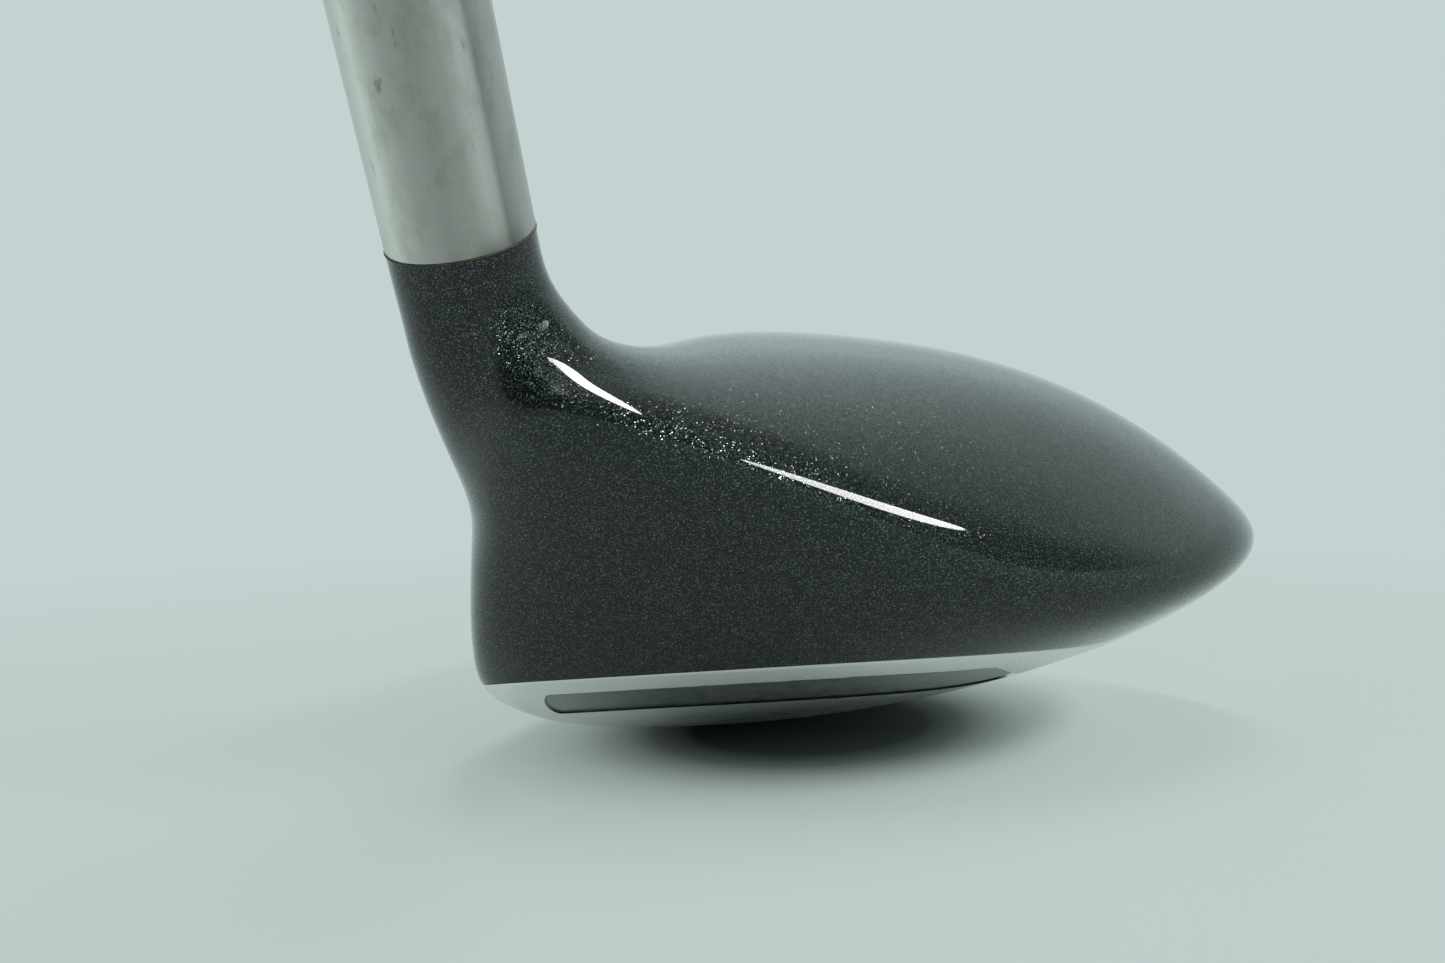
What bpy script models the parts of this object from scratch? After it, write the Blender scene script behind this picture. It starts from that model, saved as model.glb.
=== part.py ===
"""Hybrid golf club: hollow steel head, bonded shaft and rubber grip, as separate pieces.

Frame, in metres: the origin is the middle of the flat on the sole that the head rests on,
-X is the way the face looks, +X the back of the head, +Y the toe, -Y the heel, +Z up.
The shaft leans towards -Y at the lie angle.
"""
import math

import bmesh
import bpy
import numpy as np

MM = 0.001

# Driving dimensions of the club
LIE = math.radians(62.5)
LOFT = math.radians(21.0)
SEAM = np.array((2.0, -52.0, 46.5)) * MM        # where the bare hosel meets the painted neck
AXIS = np.array((0.0, -math.cos(LIE), math.sin(LIE)))
CLUB_LENGTH = 1022 * MM                         # sole to grip cap, along the shaft
HEEL_TO_SEAM = SEAM[2] / math.sin(LIE)
BUTT = CLUB_LENGTH - HEEL_TO_SEAM               # heights along the shaft count from the seam
GAP = 0.3 * MM
SLIP = 0.15 * MM                                # radial gap between pieces that slide together

# Head shell
WALL = 1.5 * MM
INLAY_DEPTH = 0.6 * MM
BODY_MIDDLE = np.array((22.0, 2.0, 18.0)) * MM
HOSEL_RADIUS = 6.3 * MM
BORE_RADIUS = 5.15 * MM
BORE_BOTTOM = -12.0 * MM
HOSEL_TOP = 26.0 * MM
BOSS_RADIUS = 7.5 * MM
CAVITY_ROUND = 2 * MM                           # rounding of the hollow beside the bore

# Crown: a dome that drops from its top; distances in the formulas count in units of SHAPE
SHAPE = 50 * MM
CROWN_MIDDLE = (-9.4 * MM, 2.4 * MM)
CROWN_TOP = 42.26 * MM
CROWN_BACK = 4.26 * MM                          # drop one unit behind the middle
CROWN_BACK_POWER = 3.86
CROWN_FRONT = 5.35 * MM
FRONT_POWER = 2.5
CROWN_SIDE = 4.54 * MM
CROWN_SIDE_POWER = 2.17
CROWN_BLUNT = 0.353                             # flattens the very top from side to side
TAIL_NARROWING = 2.71

# Skirt: a leaning wall around the head, measured at its top level
SKIRT_MIDDLE = (5 * MM, 2 * MM)
SKIRT_LEVEL = 32.87 * MM
SKIRT_BACK = 72.1 * MM
SKIRT_FRONT = 39.8 * MM
SKIRT_HEEL = 61.1 * MM
SKIRT_TOE = 50 * MM
SKIRT_POWER = 2.6                               # between an ellipse (2) and a rectangle
SKIRT_DRAFT = 0.702                             # how far the wall leans in per unit of height
TAIL_DRAFT = 0.10                               # how much less it leans at the tail
LEAST_SLOPE = 4.0                               # keeps the distance finite near the middle

# Sole: a shallow bowl with a small flat, rising to the back, the face and both sides
SOLE_BACK = 9.08 * MM
SOLE_BACK_POWER = 2.15
SOLE_FRONT = 5 * MM
SOLE_SIDE = 7.97 * MM
SOLE_FLAT = 0.3 * MM                            # depth cut off the bowl by the flat

# Face: bulge from heel to toe and roll from sole to crown, about the point that they turn on
FACE_FOOT = -10.8 * MM
FACE_AIM = (2 * MM, 18 * MM)
BULGE_RADIUS = 327 * MM
ROLL_RADIUS = 300 * MM

# Rounded edges between those surfaces, and the neck
SOLE_BLEND = 11.1 * MM
CROWN_BLEND = 7.0 * MM
FACE_BLEND = 15.0 * MM
NECK_TAPER = 54 * MM                            # loss of radius one unit below the seam, before its limit
NECK_THINNING = 5.8 * MM                        # that limit
NECK_LENGTH = 36 * MM
FILLET = 10.5 * MM                              # between neck and body, at the seam
FILLET_GROWTH = 8.1 * MM
FILLET_RUN = 9.3 * MM                           # depth below the seam at which it has grown in full

# Sole line: where the painted body ends and the bare sole plate starts
SOLE_LINE = 5.3 * MM
SOLE_LINE_RISE = 0.098                          # metres up per metre towards the back
SOLE_LINE_BOWL = 1.55                           # metres up per square metre towards heel and toe
INLAY_TOP = -1.2 * MM
INLAY_BOTTOM = -3.0 * MM

# Shaft and grip
TIP_RADIUS = 4.7 * MM
BUTT_RADIUS = 7.6 * MM
TIP_WALL = 1.3 * MM
BUTT_WALL = 1.0 * MM
SHAFT_BOTTOM = -8.0 * MM
TIP_PARALLEL = 60 * MM
BUTT_PARALLEL = 770 * MM
FERRULE_LENGTH = 20 * MM
GRIP_LENGTH = 267 * MM
CAP_THICKNESS = 4 * MM
TAPE_THICKNESS = 0.2 * MM
PLUG_LENGTH = 2.5 * MM
PIN_TOP = 14 * MM                               # brass pin inside the shaft's tip
PIN_FLANGE = 0.9 * MM
VENT_RADIUS = 1.2 * MM                          # air hole in the grip cap
GRIP_MOUTH = BUTT - GRIP_LENGTH
GRIP_TOP = BUTT - CAP_THICKNESS

# Openings and pieces of the head
CROWN_PLATE_MIDDLE = (30 * MM, 4 * MM)
CROWN_PLATE_HALF = (24 * MM, 34 * MM)
CROWN_PLATE_POWER = 2.3
CROWN_PLATE_LOW = 21 * MM
FACE_PLATE_MIDDLE = (-3 * MM, 5 * MM, 20 * MM)
FACE_PLATE_HALF = (11.5 * MM, 30 * MM)
FACE_PLATE_POWER = 2.6
FACE_PLATE_LOW = -7 * MM
FACE_PLATE_HIGH = 12 * MM
SCORE_PITCH = 2.6 * MM
SCORE_WIDTH = 0.8 * MM
SCORE_LENGTH = 42 * MM
INLAY_X = (4 * MM, 44 * MM)
INLAY_Y = (-60 * MM, -15 * MM)
WEIGHT_LOW = (36 * MM, -12 * MM, 0.0)
WEIGHT_HIGH = (54 * MM, 24 * MM, 13 * MM)
GLUE_PLACE = (10 * MM, 6 * MM, 0.0)
GLUE_OUTLINE = ((4 * MM, 4.2 * MM), (9 * MM, 3.4 * MM), (11 * MM, 0.0))
BEYOND = 60 * MM                                # past any surface of the head

# Fineness of the meshes
AROUND = 64
DOWN = 34
BODY_AROUND = 44
BODY_DOWN = 22
TURNED_STEPS = 32
OUTLINE_SAMPLES = 361
COLUMN_SAMPLES = 240
HALVINGS = 34
LONGEST_RAY = 160 * MM
RAY_DEPTH = 30 * MM                             # the head's rays start this far below the seam
POLE_TILT = 0.03                                # half angle of the small cap at each pole


# ---------------------------------------------------------------- head surface formulas
# Each function gives roughly the distance outside one surface of the head, negative inside.

def union(a, b, size):
    """Joins two shapes with a smooth fillet."""
    near = np.maximum(size - np.abs(a - b), 0.0) / size
    return np.minimum(a, b) - size * near ** 3 / 6


def common(a, b, size):
    """Keeps what two shapes share, with a rounded edge."""
    return -union(-a, -b, size)


def crown(x, y, z):
    u = (x - CROWN_MIDDLE[0]) / SHAPE
    v = np.abs(y - CROWN_MIDDLE[1]) / SHAPE
    back = np.maximum(u, 0.0)
    front = np.maximum(-u, 0.0)
    side = np.hypot(v, CROWN_BLUNT)
    spread_out = side ** CROWN_SIDE_POWER - CROWN_BLUNT ** CROWN_SIDE_POWER
    narrowing = 1 + TAIL_NARROWING * back ** 3
    drop = (CROWN_BACK * back ** CROWN_BACK_POWER + CROWN_FRONT * front ** FRONT_POWER
            + CROWN_SIDE * spread_out * narrowing)
    slope_x = (CROWN_BACK * CROWN_BACK_POWER * back ** (CROWN_BACK_POWER - 1)
               - CROWN_FRONT * FRONT_POWER * front ** (FRONT_POWER - 1)
               + 3 * CROWN_SIDE * TAIL_NARROWING * spread_out * back ** 2)
    slope_y = CROWN_SIDE * CROWN_SIDE_POWER * side ** (CROWN_SIDE_POWER - 2) * v * narrowing
    return (z - CROWN_TOP + drop) / np.sqrt(1 + (slope_x ** 2 + slope_y ** 2) / SHAPE ** 2)


def skirt(x, y, z):
    behind = x > SKIRT_MIDDLE[0]
    half_x = np.where(behind, SKIRT_BACK, SKIRT_FRONT)
    half_y = np.where(y < SKIRT_MIDDLE[1], SKIRT_HEEL, SKIRT_TOE)
    u = np.abs(x - SKIRT_MIDDLE[0]) / half_x
    v = np.abs(y - SKIRT_MIDDLE[1]) / half_y
    total = u ** SKIRT_POWER + v ** SKIRT_POWER + 1e-9
    slope = (total ** (1 / SKIRT_POWER - 1)
             * np.hypot(u ** (SKIRT_POWER - 1) / half_x, v ** (SKIRT_POWER - 1) / half_y))
    outside = (total ** (1 / SKIRT_POWER) - 1) / np.maximum(slope, LEAST_SLOPE)
    draft = SKIRT_DRAFT - TAIL_DRAFT * np.where(behind, np.minimum(u, 1.0) ** 2, 0.0)
    return (outside + draft * (SKIRT_LEVEL - z)) / np.sqrt(1 + draft ** 2)


def sole(x, y, z):
    back = np.maximum(x, 0.0) / SHAPE
    front = np.maximum(-x, 0.0) / SHAPE
    side = y / SHAPE
    rise = SOLE_BACK * back ** SOLE_BACK_POWER + SOLE_FRONT * front ** FRONT_POWER + SOLE_SIDE * side ** 2
    slope_x = (SOLE_BACK * SOLE_BACK_POWER * back ** (SOLE_BACK_POWER - 1)
               - SOLE_FRONT * FRONT_POWER * front ** (FRONT_POWER - 1))
    slope_y = 2 * SOLE_SIDE * side
    return (rise - SOLE_FLAT - z) / np.sqrt(1 + (slope_x ** 2 + slope_y ** 2) / SHAPE ** 2)


def face(x, y, z):
    bulge = (y - FACE_AIM[0]) ** 2 / (2 * BULGE_RADIUS)
    roll = (z - FACE_AIM[1]) ** 2 / (2 * ROLL_RADIUS)
    front = FACE_FOOT + z * math.tan(LOFT) + bulge + roll
    return (front - x) * math.cos(LOFT)


def body(x, y, z):
    under = common(skirt(x, y, z), sole(x, y, z), SOLE_BLEND)
    lens = common(crown(x, y, z), under, CROWN_BLEND)
    rounded = common(lens, face(x, y, z), FACE_BLEND)
    return np.maximum(rounded, -z)


def neck(x, y, z):
    """The tapering neck, and how much of the fillet to the body to use at each height."""
    dx, dy, dz = x - SEAM[0], y - SEAM[1], z - SEAM[2]
    height = dy * AXIS[1] + dz * AXIS[2]
    off_y = dy - height * AXIS[1]
    off_z = dz - height * AXIS[2]
    radius = np.sqrt(dx ** 2 + off_y ** 2 + off_z ** 2)
    depth = np.maximum(-height, 0.0)
    taper = union(NECK_TAPER * (depth / SHAPE) ** 3, NECK_THINNING, 3 * MM)
    share = np.minimum(depth / FILLET_RUN, 1.0)
    tube = common(radius - HOSEL_RADIUS + taper, depth - NECK_LENGTH, 4 * MM)
    return tube, share * share * (3 - 2 * share)


def head(x, y, z):
    tube, share = neck(x, y, z)
    return union(body(x, y, z), tube, FILLET + FILLET_GROWTH * share)


def cavity(x, y, z):
    """The hollow of the head; the metal around the bore stays solid."""
    toeward = np.array((0.42, 0.91 * math.sin(LIE), 0.91 * math.cos(LIE)))
    beside_bore = (x - SEAM[0]) * toeward[0] + (y - SEAM[1]) * toeward[1] + (z - SEAM[2]) * toeward[2]
    return common(body(x, y, z) + WALL, BOSS_RADIUS - beside_bore, CAVITY_ROUND)


def sole_line(x, y):
    return SOLE_LINE + SOLE_LINE_RISE * x + SOLE_LINE_BOWL * y ** 2


# ---------------------------------------------------------------- mesh tools

def new_object(name, mesh, parent=None):
    item = bpy.data.objects.new(name, mesh)
    bpy.context.scene.collection.objects.link(item)
    item.parent = parent
    return item


def from_bmesh(name, bm, parent=None):
    bmesh.ops.recalc_face_normals(bm, faces=bm.faces)
    mesh = bpy.data.meshes.new(name)
    bm.to_mesh(mesh)
    bm.free()
    return new_object(name, mesh, parent)


def reach(field, centre, directions):
    """Distance from the centre to the surface along each direction, by halving."""
    low = np.zeros(directions.shape[:-1])
    high = np.full(directions.shape[:-1], LONGEST_RAY)
    for _ in range(HALVINGS):
        middle = (low + high) / 2
        point = centre + middle[..., None] * directions
        inside = field(point[..., 0], point[..., 1], point[..., 2]) < 0
        low = np.where(inside, middle, low)
        high = np.where(inside, high, middle)
    return low


def spread(positions, count):
    """Values 0 to 1 along each row of points that cut its length into equal steps."""
    steps = np.linalg.norm(np.diff(positions, axis=1), axis=2)
    length = np.concatenate((np.zeros((len(steps), 1)), np.cumsum(steps, axis=1)), axis=1)
    share = np.linspace(0, 1, positions.shape[1])
    return np.array([np.interp(np.linspace(0, row[-1], count), row, share) for row in length])


def ray_directions(pole, turn, tilt):
    side = np.cross(pole, (0.0, 0.0, 1.0) if abs(pole[2]) < 0.95 else (0.0, 1.0, 0.0))
    side /= np.linalg.norm(side)
    other = np.cross(pole, side)
    around = np.cos(turn)[..., None] * side + np.sin(turn)[..., None] * other
    return np.cos(tilt)[..., None] * pole + np.sin(tilt)[..., None] * around


def skin(name, field, centre, pole, start, columns, rows):
    """Closed mesh of a surface, read along rays from a centre that sees all of it."""
    end = math.pi - POLE_TILT
    turn = np.linspace(0, 2 * math.pi, OUTLINE_SAMPLES)
    wide = ray_directions(pole, turn, np.full(OUTLINE_SAMPLES, 0.55 * math.pi))
    outline = centre + reach(field, centre, wide)[:, None] * wide
    turn = 2 * math.pi * spread(outline[None], columns + 1)[0][:-1]
    coarse = np.repeat(np.linspace(start, end, COLUMN_SAMPLES)[None], columns, 0)
    fan = ray_directions(pole, np.repeat(turn[:, None], COLUMN_SAMPLES, 1), coarse)
    share = spread(centre + reach(field, centre, fan)[..., None] * fan, rows)
    rays = ray_directions(pole, np.repeat(turn[:, None], rows, 1), start + (end - start) * share)
    points = centre + reach(field, centre, rays)[..., None] * rays
    bm = bmesh.new()
    grid = [[bm.verts.new(point) for point in column] for column in points]
    for left, right in zip(grid, grid[1:] + grid[:1]):
        for row in range(rows - 1):
            bm.faces.new((left[row], left[row + 1], right[row + 1], right[row]))
    bm.faces.new([column[0] for column in grid])
    bm.faces.new([column[-1] for column in grid])
    return from_bmesh(name, bm)


def boolean(item, tool, operation):
    modifier = item.modifiers.new(tool.name, "BOOLEAN")
    modifier.object = tool
    modifier.operation = operation
    modifier.solver = "EXACT"


def as_tool(item):
    item.hide_render = True
    item.display_type = "WIRE"
    return item


def turned(name, outer, inner=(), parent=None):
    """Body of revolution; both outlines list (radius, height) from top to bottom."""
    bm = bmesh.new()
    outline = list(outer) + list(reversed(inner))
    if not inner:
        outline = [(0.0, outer[0][1])] + list(outer) + [(0.0, outer[-1][1])]
    verts = [bm.verts.new((radius, 0.0, height)) for radius, height in outline]
    edges = [bm.edges.new(pair) for pair in zip(verts, verts[1:])]
    if inner:
        edges.append(bm.edges.new((verts[-1], verts[0])))
    bmesh.ops.spin(bm, geom=verts + edges, cent=(0, 0, 0), axis=(0, 0, 1), dvec=(0, 0, 0),
                   angle=2 * math.pi, steps=TURNED_STEPS, use_merge=True)
    bmesh.ops.remove_doubles(bm, verts=bm.verts, dist=1e-6)
    return from_bmesh(name, bm, parent)


def box(name, low, high, parent=None):
    bm = bmesh.new()
    bmesh.ops.create_cube(bm, size=1.0)
    for vert in bm.verts:
        vert.co = [(a + b) / 2 + c * (b - a) for a, b, c in zip(low, high, vert.co)]
    return from_bmesh(name, bm, parent)


def prism(name, outline, low, high, parent=None):
    """Upright prism over a closed outline of (x, y) points."""
    bm = bmesh.new()
    bottom = bm.faces.new([bm.verts.new((x, y, low)) for x, y in outline])
    raised = bmesh.ops.extrude_face_region(bm, geom=[bottom])["geom"]
    corners = [item for item in raised if isinstance(item, bmesh.types.BMVert)]
    bmesh.ops.translate(bm, verts=corners, vec=(0, 0, high - low))
    return from_bmesh(name, bm, parent)


def oval(middle, half, power, grow=0.0, count=40):
    """Outline between an ellipse (power 2) and a rectangle (higher powers)."""
    points = []
    for step in range(count):
        angle = 2 * math.pi * (step + 0.5) / count
        reach_x = math.copysign(abs(math.cos(angle)) ** (2 / power), math.cos(angle))
        reach_y = math.copysign(abs(math.sin(angle)) ** (2 / power), math.sin(angle))
        points.append((middle[0] + (half[0] + grow) * reach_x, middle[1] + (half[1] + grow) * reach_y))
    return points


def bowl_slab(name, low, high, x_range, y_range):
    """Slab between two copies of the sole line surface, raised by low and high."""
    xs = np.linspace(*x_range, 3)
    ys = np.linspace(*y_range, 25)
    bm = bmesh.new()
    layers = [[[bm.verts.new((x, y, sole_line(x, y) + lift)) for y in ys] for x in xs]
              for lift in (low, high)]
    for layer in layers:
        for near, far in zip(layer, layer[1:]):
            for k in range(len(ys) - 1):
                bm.faces.new((near[k], near[k + 1], far[k + 1], far[k]))
    rims = []
    for layer in layers:
        rims.append([row[0] for row in layer] + layer[-1][1:] + [row[-1] for row in layer[-2::-1]]
                    + layer[0][-2:0:-1])
    for k in range(len(rims[0])):
        bm.faces.new((rims[0][k - 1], rims[0][k], rims[1][k], rims[1][k - 1]))
    return from_bmesh(name, bm)


def paint(item, colour, roughness, metallic):
    material = bpy.data.materials.new(item.name)
    material.use_nodes = True
    shader = material.node_tree.nodes["Principled BSDF"]
    shader.inputs["Base Color"].default_value = (*colour, 1.0)
    shader.inputs["Roughness"].default_value = roughness
    shader.inputs["Metallic"].default_value = metallic
    item.data.materials.append(material)
    item.data.shade_smooth()
    item.data.set_sharp_from_angle(angle=math.radians(35))
    return item


# ---------------------------------------------------------------- head

def head_solid(name, offset=0.0):
    """The whole head as one solid, shrunk by the offset, open to rays from inside the heel."""
    start = math.atan2(HOSEL_RADIUS, RAY_DEPTH)
    return skin(name, lambda x, y, z: head(x, y, z) + offset, SEAM - AXIS * RAY_DEPTH, AXIS, start,
                AROUND, DOWN)


def body_solid(name, field):
    upright = np.array((0.0, 0.0, 1.0))
    return skin(name, field, BODY_MIDDLE, upright, POLE_TILT, BODY_AROUND, BODY_DOWN)


def face_frame():
    """Empty whose Z axis points out of the face, at the face's middle."""
    frame = bpy.data.objects.new("face_frame", None)
    bpy.context.scene.collection.objects.link(frame)
    frame.location = FACE_PLATE_MIDDLE
    frame.rotation_euler = (0, LOFT - math.pi / 2, 0)
    return frame


def make_head(shaft_frame):
    hollow = as_tool(body_solid("head_hollow", cavity))
    bore = as_tool(turned("bore", [(BORE_RADIUS, HOSEL_TOP), (BORE_RADIUS, BORE_BOTTOM - GAP)],
                          parent=shaft_frame))
    core = as_tool(head_solid("head_core", INLAY_DEPTH))
    floor = as_tool(head_solid("pocket_floor", INLAY_DEPTH + GAP))

    wide = ((-BEYOND, 1.5 * BEYOND), (-1.2 * BEYOND, 1.2 * BEYOND))
    above_line = as_tool(bowl_slab("above_sole_line", -GAP / 2, BEYOND, *wide))
    below_line = as_tool(bowl_slab("below_sole_line", -BEYOND, GAP / 2, *wide))

    front = face_frame()
    crown_tools = []
    face_tools = []
    for kind, grow in (("blank", 0.0), ("opening", GAP)):
        outline = oval(CROWN_PLATE_MIDDLE, CROWN_PLATE_HALF, CROWN_PLATE_POWER, grow)
        crown_tools.append(as_tool(prism("crown_" + kind, outline, CROWN_PLATE_LOW - grow, BEYOND)))
        outline = oval((0, 0), FACE_PLATE_HALF, FACE_PLATE_POWER, grow)
        face_tools.append(as_tool(prism("face_" + kind, outline, FACE_PLATE_LOW - grow, FACE_PLATE_HIGH,
                                        front)))

    shell = head_solid("head_body")
    boolean(shell, hollow, "DIFFERENCE")
    boolean(shell, below_line, "DIFFERENCE")
    boolean(shell, crown_tools[1], "DIFFERENCE")
    boolean(shell, face_tools[1], "DIFFERENCE")
    boolean(shell, bore, "DIFFERENCE")
    paint(shell, (0.035, 0.042, 0.045), 0.3, 0.6)

    top = new_object("crown_plate", shell.data.copy())
    top.data.materials.clear()
    boolean(top, hollow, "DIFFERENCE")
    boolean(top, crown_tools[0], "INTERSECT")
    paint(top, (0.035, 0.042, 0.045), 0.3, 0.6)

    make_face(shell.data.copy(), hollow, face_tools[0], core, front)
    make_sole(shell.data.copy(), hollow, above_line, core, floor)
    make_ballast()


def make_face(mesh, hollow, blank, core, front):
    plate = new_object("face_plate", mesh)
    mesh.materials.clear()
    boolean(plate, hollow, "DIFFERENCE")
    boolean(plate, blank, "INTERSECT")
    bm = bmesh.new()
    for line in range(-3, 4):
        made = bmesh.ops.create_cube(bm, size=1.0)["verts"]
        for vert in made:
            vert.co = (line * SCORE_PITCH + SCORE_WIDTH * vert.co.x, SCORE_LENGTH * vert.co.y,
                       16 * MM * vert.co.z)
    lines = as_tool(from_bmesh("score_lines", bm, front))
    boolean(lines, core, "DIFFERENCE")
    boolean(plate, lines, "DIFFERENCE")
    paint(plate, (0.42, 0.43, 0.43), 0.35, 1.0)


def make_sole(mesh, hollow, above_line, core, floor):
    plate = new_object("sole_plate", mesh)
    mesh.materials.clear()
    pocket = as_tool(bowl_slab("inlay_pocket", INLAY_BOTTOM - GAP, INLAY_TOP + GAP,
                               (INLAY_X[0] - GAP, INLAY_X[1] + GAP), INLAY_Y))
    boolean(pocket, floor, "DIFFERENCE")
    boolean(plate, pocket, "DIFFERENCE")
    boolean(plate, hollow, "DIFFERENCE")
    boolean(plate, above_line, "DIFFERENCE")
    paint(plate, (0.62, 0.62, 0.60), 0.32, 1.0)

    inlay = bowl_slab("sole_inlay", INLAY_BOTTOM, INLAY_TOP, INLAY_X, INLAY_Y)
    outside = as_tool(head_solid("inlay_outside"))
    boolean(inlay, outside, "INTERSECT")
    boolean(inlay, core, "DIFFERENCE")
    paint(inlay, (0.02, 0.022, 0.024), 0.4, 0.0)


def make_ballast():
    """Weight and glue that lie on the inside of the sole plate."""
    lining = WALL + GAP
    weight = body_solid("rear_weight", lambda x, y, z: body(x, y, z) + lining)
    block = as_tool(box("weight_block", WEIGHT_LOW, WEIGHT_HIGH))
    boolean(weight, block, "INTERSECT")
    paint(weight, (0.30, 0.30, 0.31), 0.5, 1.0)

    glue = body_solid("rattle_glue", lambda x, y, z: body(x, y, z) + lining)
    puddle = as_tool(turned("glue_puddle", GLUE_OUTLINE))
    puddle.location = GLUE_PLACE
    boolean(glue, puddle, "INTERSECT")
    paint(glue, (0.75, 0.62, 0.30), 0.6, 0.0)


# ---------------------------------------------------------------- hosel, shaft and grip

def shaft_radius(height):
    share = (height - TIP_PARALLEL) / (BUTT_PARALLEL - TIP_PARALLEL)
    return TIP_RADIUS + (BUTT_RADIUS - TIP_RADIUS) * min(max(share, 0.0), 1.0)


def make_hosel(shaft_frame):
    chamfer = 0.4 * MM
    tube = turned("hosel_tube",
                  [(HOSEL_RADIUS - chamfer, HOSEL_TOP), (HOSEL_RADIUS, HOSEL_TOP - chamfer),
                   (HOSEL_RADIUS, GAP)],
                  [(BORE_RADIUS, HOSEL_TOP), (BORE_RADIUS, GAP)], shaft_frame)
    paint(tube, (0.66, 0.65, 0.62), 0.3, 1.0)

    plug = turned("bore_plug", [(BORE_RADIUS - SLIP, BORE_BOTTOM + PLUG_LENGTH),
                                (BORE_RADIUS - SLIP, BORE_BOTTOM)], parent=shaft_frame)
    paint(plug, (0.8, 0.8, 0.76), 0.6, 0.0)

    glue_top = HOSEL_TOP - GAP
    glue = turned("shaft_epoxy", [(BORE_RADIUS - SLIP, glue_top), (BORE_RADIUS - SLIP, SHAFT_BOTTOM)],
                  [(TIP_RADIUS + SLIP, glue_top), (TIP_RADIUS + SLIP, SHAFT_BOTTOM)], shaft_frame)
    paint(glue, (0.7, 0.66, 0.45), 0.4, 0.0)

    base = HOSEL_TOP + GAP
    slopes = [(0.0, HOSEL_RADIUS), (0.25, HOSEL_RADIUS - 0.15 * MM), (0.6, HOSEL_RADIUS - 0.6 * MM),
              (0.93, TIP_RADIUS + 0.75 * MM), (1.0, TIP_RADIUS + 0.45 * MM)]
    outer = [(radius, base + share * FERRULE_LENGTH) for share, radius in reversed(slopes)]
    ferrule = turned("ferrule", outer, [(TIP_RADIUS + SLIP, base + FERRULE_LENGTH),
                                        (TIP_RADIUS + SLIP, base)], shaft_frame)
    paint(ferrule, (0.01, 0.01, 0.011), 0.2, 0.0)


def make_shaft(shaft_frame):
    top = GRIP_TOP - GAP
    heights = [top, BUTT_PARALLEL, TIP_PARALLEL, SHAFT_BOTTOM]
    outer = [(shaft_radius(height), height) for height in heights]
    walls = [BUTT_WALL, BUTT_WALL, TIP_WALL, TIP_WALL]
    inner = [(radius - wall, height) for (radius, height), wall in zip(outer, walls)]
    shaft = turned("shaft", outer, inner, shaft_frame)
    paint(shaft, (0.03, 0.03, 0.033), 0.25, 0.0)

    pin_radius = TIP_RADIUS - TIP_WALL - SLIP
    flange_top = SHAFT_BOTTOM - GAP
    flange_radius = TIP_RADIUS - 0.1 * MM
    pin = turned("tip_weight",
                 [(pin_radius, PIN_TOP), (pin_radius, flange_top),
                  (flange_radius, flange_top), (flange_radius, flange_top - PIN_FLANGE)],
                 parent=shaft_frame)
    paint(pin, (0.72, 0.55, 0.24), 0.35, 1.0)


def make_grip(shaft_frame):
    tape_inner = BUTT_RADIUS + SLIP
    tape_outer = tape_inner + TAPE_THICKNESS
    tape_span = (GRIP_TOP - 4 * MM, BUTT_PARALLEL)
    tape = turned("grip_tape", [(tape_outer, height) for height in tape_span],
                  [(tape_inner, height) for height in tape_span], shaft_frame)
    paint(tape, (0.75, 0.73, 0.66), 0.8, 0.0)

    lining = tape_outer + SLIP
    stations = [(1.0, 13.0), (0.985, 13.3), (0.75, 12.5), (0.5, 11.4), (0.25, 10.4), (0.03, 9.6), (0.0, 9.1)]
    length = GRIP_LENGTH - CAP_THICKNESS - GAP
    outer = [(radius * MM, GRIP_MOUTH + share * length) for share, radius in stations]
    inner = [(lining, GRIP_MOUTH + length), (lining, BUTT_PARALLEL - 20 * MM),
             (shaft_radius(GRIP_MOUTH) + 3 * SLIP, GRIP_MOUTH)]
    sleeve = turned("grip_sleeve", outer, inner, shaft_frame)
    paint(sleeve, (0.015, 0.015, 0.015), 0.8, 0.0)

    cap = turned("grip_cap",
                 [(10.5 * MM, BUTT), (12.4 * MM, BUTT - 0.8 * MM), (13.1 * MM, BUTT - 2.2 * MM),
                  (13.1 * MM, GRIP_TOP)],
                 [(VENT_RADIUS, BUTT), (VENT_RADIUS, GRIP_TOP)], shaft_frame)
    paint(cap, (0.02, 0.02, 0.02), 0.6, 0.0)


def main():
    for item in list(bpy.data.objects):
        bpy.data.objects.remove(item, do_unlink=True)
    shaft_frame = bpy.data.objects.new("shaft_frame", None)
    bpy.context.scene.collection.objects.link(shaft_frame)
    shaft_frame.location = SEAM
    shaft_frame.rotation_euler = (math.pi / 2 - LIE, 0, 0)
    make_head(shaft_frame)
    make_hosel(shaft_frame)
    make_shaft(shaft_frame)
    make_grip(shaft_frame)


main()
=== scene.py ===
"""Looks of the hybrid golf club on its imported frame: fine surfaces, materials, studio and camera.

Frame, in metres: origin in the middle of the flat on the sole, -X out of the face, +Y toe,
-Y heel, +Z up. The shaft leans towards -Y at the lie angle.
"""
import math

import bmesh
import bpy
import numpy as np
from mathutils import Matrix, Vector

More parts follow.
